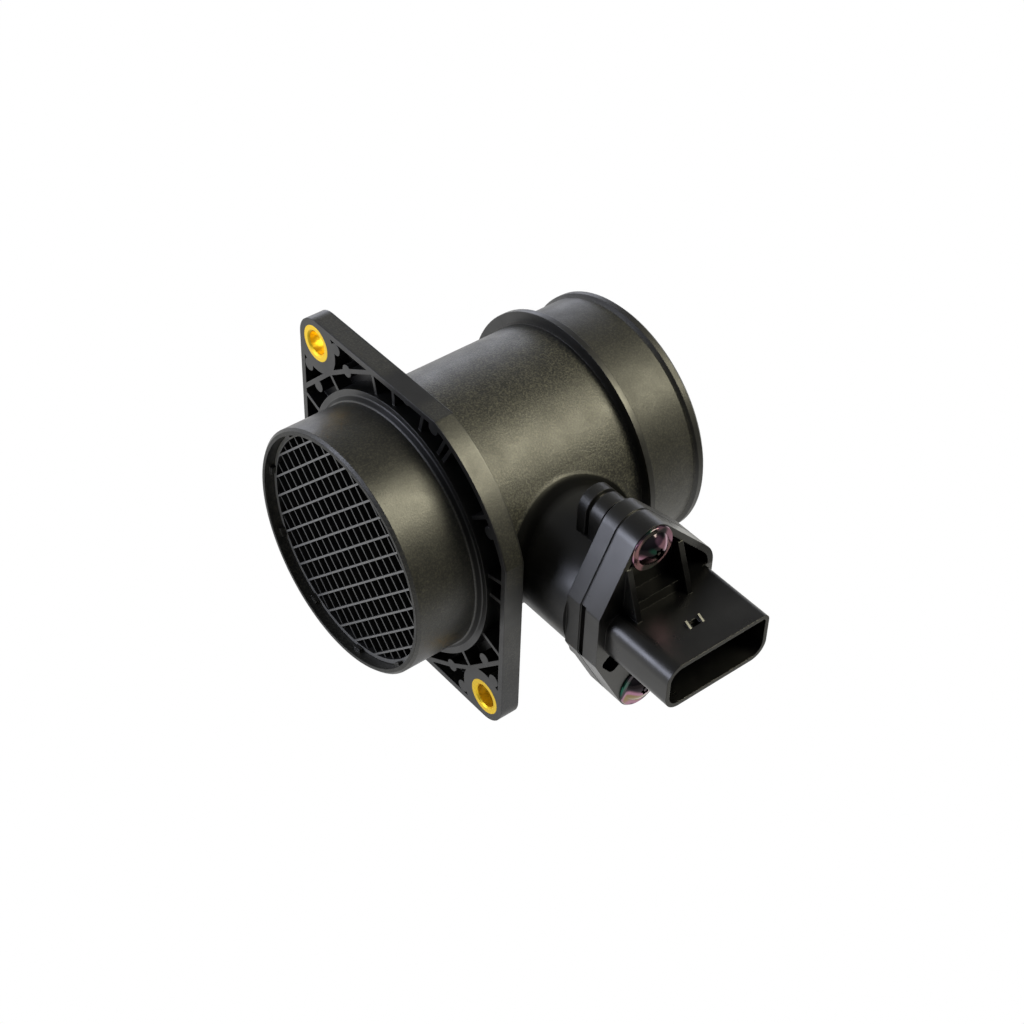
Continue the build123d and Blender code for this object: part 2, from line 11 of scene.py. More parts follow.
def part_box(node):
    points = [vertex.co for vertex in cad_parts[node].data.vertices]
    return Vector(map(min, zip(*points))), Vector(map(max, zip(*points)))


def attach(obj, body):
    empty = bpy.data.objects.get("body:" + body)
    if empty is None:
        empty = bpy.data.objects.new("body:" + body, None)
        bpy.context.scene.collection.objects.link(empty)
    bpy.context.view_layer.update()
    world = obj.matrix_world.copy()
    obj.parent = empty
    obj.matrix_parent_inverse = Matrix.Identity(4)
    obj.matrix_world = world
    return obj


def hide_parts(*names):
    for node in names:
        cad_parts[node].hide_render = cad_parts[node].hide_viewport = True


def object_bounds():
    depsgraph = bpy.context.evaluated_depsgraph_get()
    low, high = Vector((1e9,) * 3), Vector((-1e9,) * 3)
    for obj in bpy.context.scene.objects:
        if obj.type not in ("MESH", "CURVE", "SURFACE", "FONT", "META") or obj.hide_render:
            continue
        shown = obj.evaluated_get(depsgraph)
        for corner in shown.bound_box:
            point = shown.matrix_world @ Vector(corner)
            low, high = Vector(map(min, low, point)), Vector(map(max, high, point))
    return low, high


bl_info = {
    "name": "Mass airflow sensor",
    "version": (1, 0, 0),
    "blender": (4, 5, 0),
    "location": "3D View > Sidebar > Airflow",
    "description": "Finishes and small fasteners of a flanged mass airflow sensor, with its studio",
    "category": "Object",
}

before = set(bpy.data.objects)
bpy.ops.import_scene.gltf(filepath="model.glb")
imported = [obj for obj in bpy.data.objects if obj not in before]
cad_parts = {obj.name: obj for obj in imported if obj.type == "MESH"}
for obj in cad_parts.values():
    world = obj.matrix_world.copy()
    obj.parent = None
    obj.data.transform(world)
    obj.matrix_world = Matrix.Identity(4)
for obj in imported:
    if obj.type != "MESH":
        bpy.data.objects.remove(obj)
cad_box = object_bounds()

MM = 0.001
WELD_DISTANCE = 1e-6
FULL_TURN = 2 * math.pi
WHITE = (1, 1, 1, 1)

# Edges sharper than this many degrees stay sharp
SHARP_EDGE = 20.0
TUBE_SHARP_EDGE = 18.0
SCREW_SHARP_EDGE = 40.0

# Sockets that several materials fill alike
NOISE_CORE = {"From Min": 0.3, "From Max": 0.7}
POLYESTER = {"IOR": 1.54}
EDGE_SAMPLES = 4

# Screw heads: the rim's reach in lobe depths, the slope of the mouth inside it, and the outline
# of the flange in shares of its thickness
LOBES = 6
RIM_REACH = 1.3
MOUTH_SLOPE = 0.3
DOME_STEPS = 12
FLANGE_EDGE = 0.5
FLANGE_CHAMFER = 0.3
FLANGE_SHOULDER = 0.9
DOME_FOOT = 0.6

# Studio: half width of the floor and the share of it that shiny surfaces mirror as white
FLOOR_REACH = 3.0
MIRRORED_GLOW = 0.75
# What the lights point at, and where the photograph was taken from, in millimetres
LIT_MIDDLE = (28.0, -20.0, 0.0)
CAMERA_PLACE = (-239.06, -327.45, 372.16)
# Azimuth, elevation and roll of the camera, in degrees
CAMERA_ANGLES = (-40.263, 42.265, 1.984)
FILM_WIDTH = 36.0
CLIP_END = 20.0


def linear(hex_colour):
    """An sRGB hex colour as the linear RGBA that shader sockets take."""
    channels = [int(hex_colour[i : i + 2], 16) / 255 for i in (1, 3, 5)]
    return (
        *(c / 12.92 if c <= 0.04045 else ((c + 0.055) / 1.055) ** 2.4 for c in channels),
        1.0,
    )


def colour(name, description, hex_colour):
    """A colour that the user can change."""
    return FloatVectorProperty(
        name=name,
        description=description,
        subtype="COLOR",
        size=4,
        min=0,
        max=1,
        default=linear(hex_colour),
    )


def length(name, description, millimetres):
    """A length that the user can change."""
    return FloatProperty(
        name=name,
        description=description,
        unit="LENGTH",
        min=0,
        default=millimetres * MM,
    )


def number(name, description, value, least=0):
    """A plain number that the user can change."""
    return FloatProperty(name=name, description=description, default=value, min=least)


class HousingFinish(bpy.types.PropertyGroup):
    """Glass-filled polyester of the tube"""

    colour: colour("Colour", "Colour of the black moulding", "#0a0a0a")
    skin_colour: colour("Skin", "Colour of the round skins, browner than the rest", "#131311")
    speck_colour: colour("Speck", "Colour of the pale glass specks in the skins", "#4b4a41")
    grain: length("Grain", "Width of one grain of the eroded texture", 0.5)
    ripple: length("Ripple", "Spacing of the flow marks, which show only in the gloss", 7.0)
    edge: length("Edge round", "Radius at which light catches the edges", 0.25)


class HeadFinish(bpy.types.PropertyGroup):
    """Polyester of the sensor head"""

    colour: colour("Colour", "Colour of the smooth black moulding", "#050506")
    grain: length("Grain", "Width of the fine orange peel", 0.55)
    edge: length("Edge round", "Radius at which light catches the edges", 0.2)


class MetalFinish(bpy.types.PropertyGroup):
    """Turned, stamped and plated metal"""

    brass: colour("Brass", "Colour of the yellow passivated bushes", "#f4cf36")
    screw: colour("Screw", "Dark base of the passivated screws", "#39343a")
    screw_rose: colour("Rose", "Rose zones of the passivated screws", "#9c7388")
    screw_green: colour("Green", "Green zones of the passivated screws", "#27594b")
    screw_gold: colour("Gold", "Gold zones of the passivated screws", "#857350")
    tin: colour("Tin", "Colour of the plated contacts", "#c9c8c2")
    aluminium: colour("Aluminium", "Colour of the carrier plate", "#c4c5c6")
    turning: length("Turning marks", "Spacing of the turning marks in the bushes", 0.12)


class SmallPartFinish(bpy.types.PropertyGroup):
    """Grid, seal and circuit"""

    grid: colour("Grid", "Colour of the walls of the flow grid", "#0a0a0a")
    # Painted highlight: the bars' front edges take this paler colour where light would catch them
    grid_edge_highlight: colour("Grid edge", "Colour of the bars' front edges, rubbed dull", "#60605e")
    rubber: colour("Rubber", "Colour of the seal", "#161616")
    ceramic: colour("Ceramic", "Colour of the board", "#d8d2c4")
    epoxy: colour("Epoxy", "Colour of the chip's body", "#18181a")
    capacitor: colour("Capacitor", "Colour of the fired capacitors", "#8c6a48")
    silicon: colour("Silicon", "Colour of the sensing chip", "#3b4653")


class ScrewForm(bpy.types.PropertyGroup):
    """Shape of the domed sensor screws"""

    flange: length("Flange", "Thickness of the flange under the dome", 0.6)
    head_height: length("Head", "Height of the head above its seat", 2.9)
    dome_radius: length("Dome", "Radius of the dome where it meets the flange", 4.8)
    shank_radius: length("Shank", "Radius of the shank", 1.95)
    lobe_radius: length("Drive radius", "Mean radius of the six-lobe recess", 1.35)
    lobe_depth: length("Lobe", "How far the lobes reach in and out", 0.22)
    drive_depth: length("Drive depth", "Depth of the recess", 1.5)
    pin_radius: length("Pin", "Radius of the pin in the middle of the recess", 0.5)
    steps: IntProperty(
        name="Steps", description="Divisions around the head", default=72, min=24, max=144
    )


class StudioSetup(bpy.types.PropertyGroup):
    """Floor, lights and camera"""

    floor: colour("Floor", "Colour of the pale floor", "#f4f4f4")
    key: colour("Key tint", "Colour of the warm light on the right", "#fff8d6")
    side: colour("Side tint", "Colour of the cool lights on the left and behind", "#e6ebff")
    key_power: number("Key", "Power of the light on the right, in watts", 4.2)
    side_power: number("Side", "Power of the light on the left, in watts", 3.6)
    back_power: number("Back", "Power of the light behind, in watts", 1.3)
    horizon: number("Horizon", "Strength of the surround behind", 1.0)
    front: number("Front", "Strength of the surround in front", 0.12)
    ceiling: number("Ceiling", "Strength of the surround overhead", 0.25)
    lens: number("Lens", "Focal length of the camera, in millimetres", 73.45, least=1)


def node(tree, kind, inputs=None, **settings):
    """Adds one shader node. inputs gives each socket a value or the output that feeds it."""
    made = tree.nodes.new(kind)
    for name, value in settings.items():
        setattr(made, name, value)
    for socket, value in (inputs or {}).items():
        if isinstance(value, bpy.types.NodeSocket):
            tree.links.new(value, made.inputs[socket])
        else:
            made.inputs[socket].default_value = value
    return made


def new_material(name):
    """A material with an empty tree, its object coordinates and its output."""
    material = bpy.data.materials.new(name)
    material.use_nodes = True
    tree = material.node_tree
    tree.nodes.clear()
    where = node(tree, "ShaderNodeTexCoord").outputs["Object"]
    output = node(tree, "ShaderNodeOutputMaterial")
    return material, tree, where, output


def tube_masks(tree, where):
    """Where a point lies along the tube, and how far it is skin, grained and dulled by painted
    shade, from 0 to 1.
    """
    place = node(tree, "ShaderNodeSeparateXYZ", {0: where}).outputs
    across = node(tree, "ShaderNodeCombineXYZ", {"Y": place["Y"], "Z": place["Z"]})
    radius = node(tree, "ShaderNodeVectorMath", {0: across.outputs[0]}, operation="LENGTH")
    along, reach = place["X"], radius.outputs["Value"]
    masks = {"everywhere": 1.0}
    # Each row fades one mask over a stretch along the axis or away from it, in millimetres
    for name, value, start, end, before, after in (
        ("past_flange", along, 5.9, 6.3, 0.0, 1.0),
        ("before_shoulder", along, 53.2, 53.6, 1.0, 0.0),
        ("off_tube", reach, 34.45, 34.7, 0.0, 1.0),
        ("near_skin", reach, 35.2, 35.5, 1.0, 0.0),
        ("past_face", along, 0.3, 0.6, 0.0, 1.0),
        ("before_back", along, 5.2, 5.5, 1.0, 0.0),
        ("flange_rim", reach, 44.0, 44.5, 0.0, 1.0),
        ("tower_foot", reach, 37.5, 40.0, 1.0, 0.0),
        ("before_collar", along, -1.5, -1.25, 1.0, 0.0),
        ("off_spigot", reach, 35.15, 35.4, 0.0, 1.0),
        ("inside_collar", reach, 37.2, 37.5, 1.0, 0.0),
        ("tip", along, -20.45, -20.35, 0.7, 0.0),
    ):
        sockets = {"Value": value, "From Min": start * MM, "From Max": end * MM}
        sockets.update({"To Min": before, "To Max": after})
        masks[name] = node(tree, "ShaderNodeMapRange", sockets).outputs[0]
    # Each row makes one mask from two others
    for name, operation, first, second in (
        ("body", "MULTIPLY", "past_flange", "before_shoulder"),
        ("blend", "MULTIPLY", "off_tube", "body"),
        ("unblended", "SUBTRACT", "everywhere", "blend"),
        ("round_skin", "MULTIPLY", "near_skin", "unblended"),
        ("edge_band", "MULTIPLY", "past_face", "before_back"),
        ("rim_skin", "MULTIPLY", "flange_rim", "edge_band"),
        ("skin", "MAXIMUM", "round_skin", "rim_skin"),
        # Painted shade: the dull mask gathers the tower's root, the collar's cone and the spigot's
        # tip
        ("tower_root", "MULTIPLY", "blend", "tower_foot"),
        ("cone_front", "MULTIPLY", "before_collar", "off_spigot"),
        ("collar_cone", "MULTIPLY", "cone_front", "inside_collar"),
        ("root_or_cone", "MAXIMUM", "tower_root", "collar_cone"),
        ("dull", "MAXIMUM", "root_or_cone", "tip"),
    ):
        made = node(
            tree, "ShaderNodeMath", {0: masks[first], 1: masks[second]}, operation=operation
        )
        masks[name] = made.outputs[0]
    # The other skins take less of the grain than the tube between flange and shoulder
    share = node(tree, "ShaderNodeMapRange", {"Value": masks["body"], "To Min": 0.4})
    grained = node(
        tree, "ShaderNodeMath", {0: masks["skin"], 1: share.outputs[0]}, operation="MULTIPLY"
    )
    return along, masks["skin"], grained.outputs[0], masks["dull"]


def moulded_polyester():
    """Glass-filled polyester from an eroded mould: a matt black whose round skins are browner
    and speckled, most between flange and shoulder."""
    finish = bpy.context.scene.airflow_housing
    material, tree, where, output = new_material("moulded_polyester")
    along, skin, grained, dull = tube_masks(tree, where)
    # The real grain is about 0.2 mm wide, and is drawn coarser so that it shows
    grain = node(
        tree,
        "ShaderNodeTexNoise",
        {"Vector": where, "Scale": 1 / finish.grain, "Detail": 4.0, "Roughness": 0.65},
    )
    specks = node(
        tree,
        "ShaderNodeMapRange",
        {"Value": grain.outputs["Fac"], "From Min": 0.44, "From Max": 0.68},
    )
    speck_share = node(
        tree, "ShaderNodeMath", {0: specks.outputs[0], 1: grained}, operation="MULTIPLY"
    )
    ground = node(
        tree,
        "ShaderNodeMix",
        {0: skin, 6: finish.colour, 7: finish.skin_colour},
        data_type="RGBA",
    )
    shade = node(
        tree,
        "ShaderNodeMix",
        {0: speck_share.outputs[0], 6: ground.outputs[2], 7: finish.speck_colour},
        data_type="RGBA",
    )
    # Roughness: flow marks everywhere, a little more on the grain and past the shoulder
    cloud = node(
        tree,
        "ShaderNodeTexNoise",
        {"Vector": where, "Scale": 1 / finish.ripple, "Detail": 4.0, "Roughness": 0.55},
    )
    flow_marks = node(
        tree,
        "ShaderNodeMapRange",
        {"Value": cloud.outputs["Fac"], "To Min": 0.3, "To Max": 0.42, **NOISE_CORE},
    )
    far_end = node(
        tree,
        "ShaderNodeMapRange",
        {
            "Value": along,
            "From Min": 54.5 * MM,
            "From Max": 56.5 * MM,
            "To Min": 0.02,
            "To Max": 0.1,
        },
    )
    rough_end = node(tree, "ShaderNodeMath", {0: flow_marks.outputs[0], 1: far_end.outputs[0]})
    rough_grain = node(
        tree,
        "ShaderNodeMath",
        {0: grained, 1: 0.05, 2: rough_end.outputs[0]},
        operation="MULTIPLY_ADD",
    )
    # Painted shade: the tower's root, the collar's cone and the spigot's front edge have little
    # shine, so that they stay dark
    shine = node(tree, "ShaderNodeMapRange", {"Value": dull, "To Min": 0.5, "To Max": 0.08})
    relief = node(tree, "ShaderNodeMapRange", {"Value": grained, "To Min": 0.15})
    edge = node(tree, "ShaderNodeBevel", {"Radius": finish.edge}, samples=EDGE_SAMPLES)
    bump = node(
        tree,
        "ShaderNodeBump",
        {
            "Strength": relief.outputs[0],
            "Distance": 0.08 * MM,
            "Height": grain.outputs["Fac"],
            "Normal": edge.outputs[0],
        },
    )
    surface = node(
        tree,
        "ShaderNodeBsdfPrincipled",
        {
            "Base Color": shade.outputs[2],
            "Roughness": rough_grain.outputs[0],
            "Specular IOR Level": shine.outputs[0],
            "Normal": bump.outputs[0],
            **POLYESTER,
        },
    )
    tree.links.new(surface.outputs[0], output.inputs["Surface"])
    return material


def smooth_polyester():
    """Unfilled polyester from a polished mould: a satin black, faintly orange-peeled, with painted
    shade where the pocket by the socket loses its shine.
    """
    finish = bpy.context.scene.airflow_head
    material, tree, where, output = new_material("smooth_polyester")
    peel = node(
        tree,
        "ShaderNodeTexNoise",
        {"Vector": where, "Scale": 1 / finish.grain, "Detail": 2.0, "Roughness": 0.5},
    )
    cloud = node(
        tree, "ShaderNodeTexNoise", {"Vector": where, "Scale": 1 / (9.0 * MM), "Detail": 3.0}
    )
    roughness = node(
        tree,
        "ShaderNodeMapRange",
        {"Value": cloud.outputs["Fac"], "To Min": 0.26, "To Max": 0.36, **NOISE_CORE},
    )
    # Painted shade: the pocket between the ribs and the root of the socket's top lose their shine
    # and stay dark
    place = node(tree, "ShaderNodeSeparateXYZ", {0: where}).outputs
    normal = node(tree, "ShaderNodeNewGeometry").outputs["True Normal"]
    facing = node(tree, "ShaderNodeSeparateXYZ", {0: normal}).outputs
    pocket = 1.0
    for value, start, end, before, after in (
        (place["X"], 13.0 * MM, 14.5 * MM, 0.0, 1.0),  # inside the pocket's left wall
        (facing["X"], -0.3, -0.1, 0.0, 1.0),  # not on walls that face the inlet
        (place["Z"], 6.5 * MM, 6.9 * MM, 0.0, 1.0),  # from the top of the socket upwards
        (place["Z"], 15.0 * MM, 19.0 * MM, 1.0, 0.0),  # below the upper screw
        (place["Y"], -82.0 * MM, -70.0 * MM, 0.0, 1.0),  # behind the latch, fading
    ):
        sockets = {"Value": value, "From Min": start, "From Max": end}
        sockets.update({"To Min": before, "To Max": after})
        side = node(tree, "ShaderNodeMapRange", sockets)
        both = node(
            tree, "ShaderNodeMath", {0: pocket, 1: side.outputs[0]}, operation="MULTIPLY"
        )
        pocket = both.outputs[0]
    shine = node(tree, "ShaderNodeMapRange", {"Value": pocket, "To Min": 0.5, "To Max": 0.12})
    edge = node(tree, "ShaderNodeBevel", {"Radius": finish.edge}, samples=EDGE_SAMPLES)
    bump = node(
        tree,
        "ShaderNodeBump",
        {
            "Strength": 0.12,
            "Distance": 0.03 * MM,
            "Height": peel.outputs["Fac"],
            "Normal": edge.outputs[0],
        },
    )
    surface = node(
        tree,
        "ShaderNodeBsdfPrincipled",
        {
            "Base Color": finish.colour,
            "Roughness": roughness.outputs[0],
            "Specular IOR Level": shine.outputs[0],
            "Normal": bump.outputs[0],
            **POLYESTER,
        },
    )
    tree.links.new(surface.outputs[0], output.inputs["Surface"])
    return material


def grid_polyester():
    """Polyester moulded into thin bars: black walls, and a painted highlight in grey on the bars'
    front edges.
    """
    finish = bpy.context.scene.airflow_small
    material, tree, where, output = new_material("grid_polyester")
    cloud = node(
        tree, "ShaderNodeTexNoise", {"Vector": where, "Scale": 1 / (2.5 * MM), "Detail": 3.0}
    )
    roughness = node(
        tree,
        "ShaderNodeMapRange",
        {"Value": cloud.outputs["Fac"], "To Min": 0.45, "To Max": 0.6, **NOISE_CORE},
    )
    # Painted highlight: faces that look towards the inlet take the paler colour
    normal = node(tree, "ShaderNodeNewGeometry").outputs["True Normal"]
    facing = node(tree, "ShaderNodeSeparateXYZ", {0: normal}).outputs
    front = node(
        tree,
        "ShaderNodeMapRange",
        {"Value": facing["X"], "From Min": -0.9, "From Max": -0.5, "To Min": 1.0, "To Max": 0.0},
    )
    # Painted shade: the cross bars lie behind the long bars and take less of the painted highlight
    place = node(tree, "ShaderNodeSeparateXYZ", {0: where}).outputs
    long_bars = node(
        tree,
        "ShaderNodeMapRange",
        {
            "Value": place["X"],
            "From Min": -17.4 * MM,
            "From Max": -17.2 * MM,
            "To Min": 1.0,
            "To Max": 0.3,
        },
    )
    painted_highlight = node(
        tree,
        "ShaderNodeMath",
        {0: front.outputs[0], 1: long_bars.outputs[0]},
        operation="MULTIPLY",
    )
    shade = node(
        tree,
        "ShaderNodeMix",
        {0: painted_highlight.outputs[0], 6: finish.grid, 7: finish.grid_edge_highlight},
        data_type="RGBA",
    )
    surface = node(
        tree,
        "ShaderNodeBsdfPrincipled",
        {"Base Color": shade.outputs[2], "Roughness": roughness.outputs[0], **POLYESTER},
    )
    tree.links.new(surface.outputs[0], output.inputs["Surface"])
    return material


def passivated_brass():
    """Turned brass, yellow passivated: bright, with fine rings left by the tool."""
    finish = bpy.context.scene.airflow_metal
    material, tree, where, output = new_material("passivated_brass")
    rings = node(
        tree,
        "ShaderNodeTexNoise",
        {"Vector": where, "Scale": 1 / finish.turning, "Detail": 1.0},
    )
    roughness = node(
        tree,
        "ShaderNodeMapRange",
        {"Value": rings.outputs["Fac"], "To Min": 0.42, "To Max": 0.5, **NOISE_CORE},
    )
    edge = node(tree, "ShaderNodeBevel", {"Radius": 0.3 * MM}, samples=EDGE_SAMPLES)
    surface = node(
        tree,
        "ShaderNodeBsdfPrincipled",
        {
            "Base Color": finish.brass,
            "Metallic": 0.9,
            "Roughness": roughness.outputs[0],
            "Normal": edge.outputs[0],
        },
    )
    tree.links.new(surface.outputs[0], output.inputs["Surface"])
    return material


def passivated_steel():
    """Cold-headed steel under a thick chromate film: dark and mirror-like, with zones of green,
    rose and gold a few millimetres wide."""
    finish = bpy.context.scene.airflow_metal
    material, tree, where, output = new_material("passivated_steel")
    film = node(
        tree,
        "ShaderNodeTexNoise",
        {"Vector": where, "Scale": 1 / (6.0 * MM), "Detail": 0.0, "Distortion": 0.3},
    )
    bands = node(tree, "ShaderNodeValToRGB", {"Fac": film.outputs["Fac"]})
    stops = bands.color_ramp.elements
    stops[0].position, stops[0].color = 0.36, finish.screw_green
    stops[1].position, stops[1].color = 0.74, finish.screw_gold
    for position, tone in (
        (0.44, finish.screw),
        (0.53, finish.screw),
        (0.60, finish.screw_rose),
        (0.66, finish.screw_rose),
    ):
        stops.new(position).color = tone
    surface = node(
        tree,
        "ShaderNodeBsdfPrincipled",
        {"Base Color": bands.outputs["Color"], "Metallic": 1.0, "Roughness": 0.1},
    )
    tree.links.new(surface.outputs[0], output.inputs["Surface"])
    return material


def plated_metal(name, base, smoothest, roughest):
    """Rolled or plated sheet: an even metal whose rolling shows as slight streaks of gloss."""
    material, tree, where, output = new_material(name)
    rolled = node(tree, "ShaderNodeMapping", {"Vector": where, "Scale": (8.0, 1.0, 1.0)})
    streaks = node(
        tree,
        "ShaderNodeTexNoise",
        {"Vector": rolled.outputs[0], "Scale": 1 / (1.5 * MM), "Detail": 3.0},
    )
    roughness = node(
        tree,
        "ShaderNodeMapRange",
        {"Value": streaks.outputs["Fac"], "To Min": smoothest, "To Max": roughest, **NOISE_CORE},
    )
    surface = node(
        tree,
        "ShaderNodeBsdfPrincipled",
        {"Base Color": base, "Metallic": 1.0, "Roughness": roughness.outputs[0]},
    )
    tree.links.new(surface.outputs[0], output.inputs["Surface"])
    return material


def inner_material(name, base, grain, smoothest, roughest):
    """A small part that isn't metal: its own colour with a fine unevenness in its gloss."""
    material, tree, where, output = new_material(name)
    mottle = node(
        tree, "ShaderNodeTexNoise", {"Vector": where, "Scale": 1 / grain, "Detail": 3.0}
    )
    roughness = node(
        tree,
        "ShaderNodeMapRange",
        {"Value": mottle.outputs["Fac"], "To Min": smoothest, "To Max": roughest, **NOISE_CORE},
    )
    bump = node(
        tree,
        "ShaderNodeBump",
        {"Strength": 0.15, "Distance": 0.02 * MM, "Height": mottle.outputs["Fac"]},
    )
    surface = node(
        tree,
        "ShaderNodeBsdfPrincipled",
        {"Base Color": base, "Roughness": roughness.outputs[0], "Normal": bump.outputs[0]},
    )
    tree.links.new(surface.outputs[0], output.inputs["Surface"])
    return material


def split_edges(part, degrees):
    """Lets a smooth-shaded part break at its sharp edges."""
    split = part.modifiers.new("Sharp edges", "EDGE_SPLIT")
    split.split_angle = math.radians(degrees)


def dress(names, material, sharp=SHARP_EDGE):
    """Gives CAD nodes their material, and smooths all but their edges over sharp degrees."""
    for name in names:
        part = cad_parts[name]
        part.data.materials.clear()
        part.data.materials.append(material)
        part.data.shade_smooth()
        # A CAD mesh is loose triangles
        weld = part.modifiers.new("Weld", "WELD")
        weld.merge_threshold = WELD_DISTANCE
        split_edges(part, sharp)


def into_scene(name, data):
    """A new object that shows the data."""
    made = bpy.data.objects.new(name, data)
    bpy.context.scene.collection.objects.link(made)
    return made


def from_bmesh(name, mesh):
    """A new object with the finished bmesh, which is freed."""
    data = bpy.data.meshes.new(name)
    mesh.to_mesh(data)
    mesh.free()
    return into_scene(name, data)


class AIRFLOW_OT_tube(bpy.types.Operator):
    """Finishes the tube housing"""

    bl_idname = "airflow.tube"
    bl_label = "Tube housing"

    def execute(self, context):
        dress(["tube_housing"], moulded_polyester(), TUBE_SHARP_EDGE)
        return {"FINISHED"}


class AIRFLOW_OT_grid(bpy.types.Operator):
    """Finishes the flow grid"""

    bl_idname = "airflow.grid"
    bl_label = "Flow grid"

    def execute(self, context):
        dress(["flow_straightener"], grid_polyester())
        return {"FINISHED"}


class AIRFLOW_OT_bushes(bpy.types.Operator):
    """Finishes the two brass bushes"""

    bl_idname = "airflow.bushes"
    bl_label = "Bolt bushes"

    def execute(self, context):
        dress(["upper_bolt_bush", "lower_bolt_bush"], passivated_brass())
        return {"FINISHED"}


class AIRFLOW_OT_head(bpy.types.Operator):
    """Finishes the sensor head, its paddle and the two lids"""

    bl_idname = "airflow.head"
    bl_label = "Sensor head"

    def execute(self, context):
        dress(["sensor_housing", "electronics_cover", "bypass_cover"], smooth_polyester())
        return {"FINISHED"}


class AIRFLOW_OT_screws(bpy.types.Operator):
    """Makes the two domed screws, each with a six-lobe recess around a pin"""

    bl_idname = "airflow.screws"
    bl_label = "Sensor screws"

    def execute(self, context):
        finish = passivated_steel()
        for name in ("upper_sensor_screw", "lower_sensor_screw"):
            low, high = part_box(name)
            screw = domed_screw(name + "_detail", low, high, context.scene.airflow_screw)
            screw.data.materials.append(finish)
            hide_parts(name)
            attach(screw, "root")
        return {"FINISHED"}


def extruded(mesh, edges):
    """The vertices and edges of a loop extruded from a loop of edges, still in its place."""
    made = bmesh.ops.extrude_edge_only(mesh, edges=edges)["geom"]
    verts = [v for v in made if isinstance(v, bmesh.types.BMVert)]
    loop = [
        e
        for e in made
        if isinstance(e, bmesh.types.BMEdge) and all(v in verts for v in e.verts)
    ]
    return verts, loop


def domed_screw(name, low, high, form):
    """One screw along -Y: spun round its axis, and cut at the top by the six-lobe recess."""
    flange_radius = (high.x - low.x) / 2
    shank_length = (high.y - low.y) - form.head_height
    # The rim lies a little outside the lobes' tips, so every face between them has some width
    rim_radius = form.lobe_radius + form.lobe_depth * RIM_REACH
    rise = form.head_height - form.flange
    sphere = (form.dome_radius**2 + rise**2) / (2 * rise)
    mesh = bmesh.new()
    # Outline from the foot of the shank, round the flange and over the dome to the recess
    outline = [
        (0, -shank_length),
        (form.shank_radius, -shank_length),
        (form.shank_radius, 0),
        (flange_radius, 0),
        (flange_radius, form.flange * FLANGE_EDGE),
        (flange_radius - form.flange * FLANGE_CHAMFER, form.flange * FLANGE_SHOULDER),
        (form.dome_radius + form.flange * DOME_FOOT, form.flange),
    ]
    for i in range(DOME_STEPS + 1):
        reach = form.dome_radius + (rim_radius - form.dome_radius) * i / DOME_STEPS
        height = form.flange + math.sqrt(sphere**2 - reach**2) - (sphere - rise)
        outline.append((reach, height))
    verts = [mesh.verts.new((reach, 0, height)) for reach, height in outline]
    edges = [mesh.edges.new(pair) for pair in zip(verts, verts[1:])]
    bmesh.ops.spin(
        mesh,
        geom=verts + edges,
        cent=(0, 0, 0),
        axis=(0, 0, 1),
        angle=FULL_TURN,
        steps=form.steps,
        use_merge=True,
    )
    bmesh.ops.remove_doubles(mesh, verts=mesh.verts, dist=WELD_DISTANCE)
    top = outline[-1][1]
    rim_edges = [
        e
        for e in mesh.edges
        if e.is_boundary and all(v.co.z > top - WELD_DISTANCE for v in e.verts)
    ]
    # The recess's mouth follows the lobes, and its wall goes straight down to the floor
    lobes = bmesh.ops.create_circle(
        mesh, cap_ends=False, radius=form.lobe_radius, segments=form.steps
    )["verts"]
    for v in lobes:
        turn = math.atan2(v.co.y, v.co.x)
        reach = form.lobe_radius + form.lobe_depth * math.cos(LOBES * turn)
        height = top + (rim_radius - reach) * MOUTH_SLOPE
        v.co = Vector((reach * math.cos(turn), reach * math.sin(turn), height))
    lobe_edges = list({e for v in lobes for e in v.link_edges})
    bmesh.ops.bridge_loops(mesh, edges=rim_edges + lobe_edges)
    floor_verts, floor_edges = extruded(mesh, lobe_edges)
    for v in floor_verts:
        v.co.z = top - form.drive_depth
    # The floor closes in on the pin, which stands up to the mouth
    foot_verts, foot_edges = extruded(mesh, floor_edges)
    for v in foot_verts:
        turn = math.atan2(v.co.y, v.co.x)
        v.co.x = form.pin_radius * math.cos(turn)
        v.co.y = form.pin_radius * math.sin(turn)
    pin_verts, pin_edges = extruded(mesh, foot_edges)
    for v in pin_verts:
        v.co.z = top
    bmesh.ops.contextual_create(mesh, geom=pin_edges)
    bmesh.ops.recalc_face_normals(mesh, faces=mesh.faces)
    # The screw's own Z turns to -Y, at its seat in the head
    seat = Vector(((low.x + high.x) / 2, low.y + form.head_height, (low.z + high.z) / 2))
    mesh.transform(Matrix.Translation(seat) @ Matrix.Rotation(FULL_TURN / 4, 4, "X"))
    screw = from_bmesh(name, mesh)
    screw.data.shade_smooth()
    split_edges(screw, SCREW_SHARP_EDGE)
    return screw


